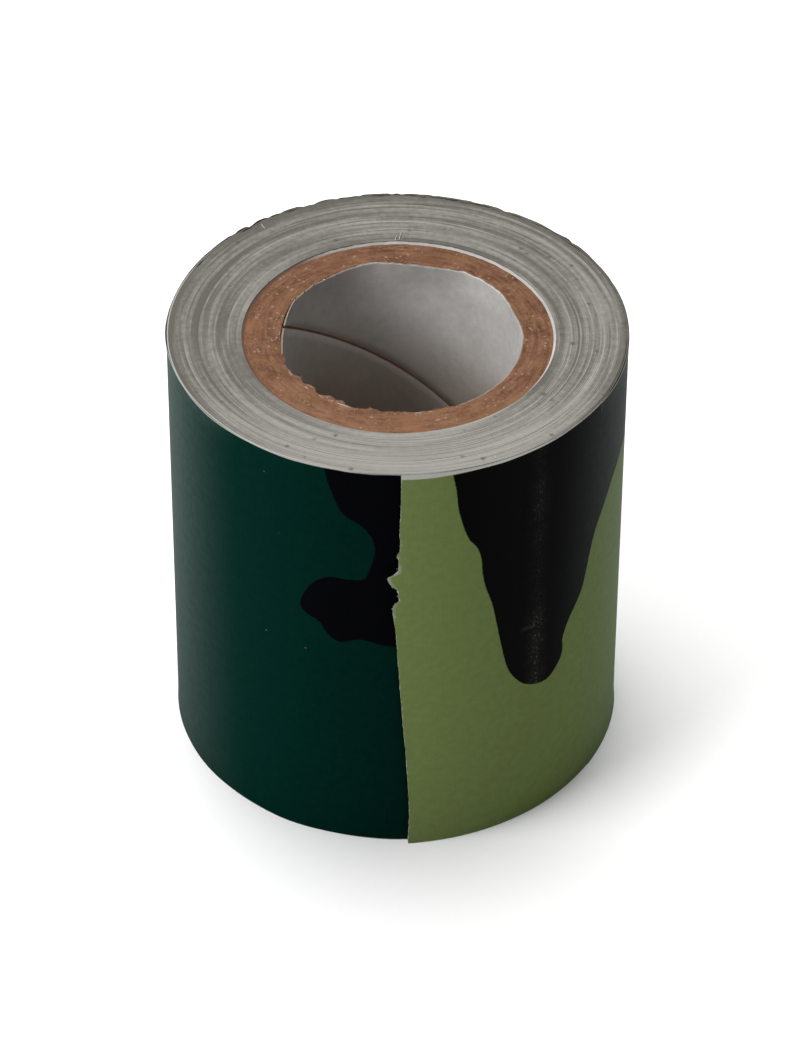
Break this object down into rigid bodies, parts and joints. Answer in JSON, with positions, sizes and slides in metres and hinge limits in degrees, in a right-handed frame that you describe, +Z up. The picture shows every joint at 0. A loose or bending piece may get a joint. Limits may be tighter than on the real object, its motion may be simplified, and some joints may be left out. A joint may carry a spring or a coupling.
{
  "type": "duct tape roll",
  "caption": "Roll of printed cloth duct tape wound on a paper core, with a torn free end that peels off the roll.",
  "frame": {"origin": "on the axis of the core's bore at the bottom end of the roll", "axes": "+Z up the bore, -Y towards the torn free end of the strip"},
  "size_m": [0.0478, 0.0486, 0.05],
  "materials": {
    "liner_paper": "matte grey-white paper",
    "kraft_ply": "matte brown kraft board",
    "cover_paper": "matte white paper",
    "printed_film": "satin printed polyethylene, camouflage pattern",
    "scrim_gauze": "woven cotton gauze",
    "adhesive": "tacky grey-white rubber adhesive"
  },
  "bodies": {
    "roll": {"core_inner_liner": "liner_paper", "core_ply_1": "kraft_ply", "core_ply_2": "kraft_ply", "core_ply_3": "kraft_ply", "core_ply_4": "kraft_ply", "core_ply_5": "kraft_ply", "core_ply_6": "kraft_ply", "core_cover_ply": "cover_paper", "tape_film_wound": "printed_film", "tape_scrim_wound": "scrim_gauze", "tape_adhesive_wound": "adhesive"},
    "tail_1": {"tail_1_film": "printed_film", "tail_1_scrim": "scrim_gauze", "tail_1_adhesive": "adhesive"},
    "tail_2": {"tail_2_film": "printed_film", "tail_2_scrim": "scrim_gauze", "tail_2_adhesive": "adhesive"},
    "tail_3": {"tail_3_film": "printed_film", "tail_3_scrim": "scrim_gauze", "tail_3_adhesive": "adhesive"}
  },
  "joints": [
    {"name": "tail_1_peel", "type": "hinge", "parent": "roll", "child": "tail_1", "pos_m": [0.02061, -0.01116, 0.025], "axis": [0, 0, 1], "range_deg": [0, 60]},
    {"name": "tail_2_peel", "type": "hinge", "parent": "tail_1", "child": "tail_2", "pos_m": [0.0153, -0.01761, 0.025], "axis": [0, 0, 1], "range_deg": [0, 60]},
    {"name": "tail_3_peel", "type": "hinge", "parent": "tail_2", "child": "tail_3", "pos_m": [0.00817, -0.02198, 0.025], "axis": [0, 0, 1], "range_deg": [0, 60]}
  ]
}
